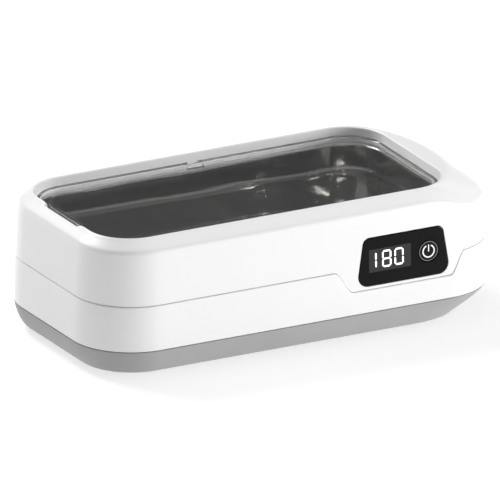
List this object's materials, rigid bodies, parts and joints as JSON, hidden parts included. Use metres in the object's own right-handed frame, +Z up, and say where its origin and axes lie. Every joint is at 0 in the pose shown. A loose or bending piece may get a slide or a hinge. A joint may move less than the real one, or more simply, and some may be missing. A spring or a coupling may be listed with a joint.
{
  "type": "ultrasonic cleaner",
  "caption": "Small household ultrasonic cleaner with a stainless tank, a lift-off clear lid, a digital timer display and a push key, for jewellery and spectacles.",
  "frame": {"origin": "middle of the footprint, on the surface that the feet stand on", "axes": "+X along the cleaner towards the display and inlet end, +Y from the front wall to the back wall, +Z up"},
  "size_m": [0.211, 0.111, 0.0664],
  "materials": {
    "white_housing": "satin gloss white ABS",
    "grey_base": "fine matte grey ABS",
    "tank_steel": "polished pressed stainless steel",
    "seal_rubber": "matte black rubber",
    "white_silicone": "soft white silicone",
    "clear_lid": "clear moulded acrylic",
    "black_window": "black gloss acrylic",
    "black_key": "black gloss key",
    "display_face": "grey display module",
    "moulded_black": "matte black moulding",
    "white_nylon": "natural nylon",
    "circuit_board": "green solder mask",
    "zinc_steel": "zinc plated steel",
    "aluminium": "extruded aluminium",
    "copper_wire": "enamelled copper",
    "ferrite": "sintered ferrite",
    "silvered_ceramic": "silvered piezo ceramic",
    "fuse_glass": "glass tube",
    "blue_film": "blue epoxy case",
    "red_insulation": "red wire insulation",
    "grey_insulation": "grey wire insulation"
  },
  "bodies": {
    "housing": {"upper_housing": "white_housing", "lower_housing": "white_housing", "base_cover": "grey_base", "tank": "tank_steel", "tank_gasket": "white_silicone", "display_window": "black_window", "tact_switch": "moulded_black", "led_display": "display_face", "control_board": "circuit_board", "driver_board": "circuit_board", "transformer_core": "ferrite", "transformer_winding": "copper_wire", "output_inductor_core": "ferrite", "output_inductor_winding": "copper_wire", "heat_sink": "aluminium", "bridge_rectifier": "moulded_black", "bulk_capacitor": "moulded_black", "fuse": "fuse_glass", "mains_terminal": "white_nylon", "display_connector": "white_nylon", "transducer_connector": "white_nylon", "power_inlet": "moulded_black", "transducer_lead_1": "red_insulation", "transducer_lead_2": "moulded_black", "display_cable": "grey_insulation", "mains_lead_1": "grey_insulation", "mains_lead_2": "moulded_black", "control_board_screw_1": "zinc_steel", "mosfet_1": "moulded_black", "film_capacitor_1": "blue_film", "fuse_clip_1": "zinc_steel", "inlet_pin_1": "zinc_steel", "piezo_disc_1": "silvered_ceramic", "control_board_screw_2": "zinc_steel", "mosfet_2": "moulded_black", "film_capacitor_2": "blue_film", "fuse_clip_2": "zinc_steel", "inlet_pin_2": "zinc_steel", "piezo_disc_2": "silvered_ceramic", "driver_board_screw_1": "zinc_steel", "housing_screw_1": "zinc_steel", "foot_1": "seal_rubber", "driver_board_screw_2": "zinc_steel", "housing_screw_2": "zinc_steel", "foot_2": "seal_rubber", "driver_board_screw_3": "zinc_steel", "housing_screw_3": "zinc_steel", "foot_3": "seal_rubber", "driver_board_screw_4": "zinc_steel", "housing_screw_4": "zinc_steel", "foot_4": "seal_rubber"},
    "lid": {"lid": "clear_lid"},
    "power_key": {"power_button": "black_key", "switch_plunger": "moulded_black"}
  },
  "joints": [
    {"name": "lid_lift", "type": "slide", "parent": "housing", "child": "lid", "axis": [0, 0, 1], "range_m": [0, 0.06]},
    {"name": "power_key_press", "type": "slide", "parent": "housing", "child": "power_key", "axis": [0, 1, 0], "range_m": [0, 0.0003], "stiffness_N_per_m": 1500}
  ]
}
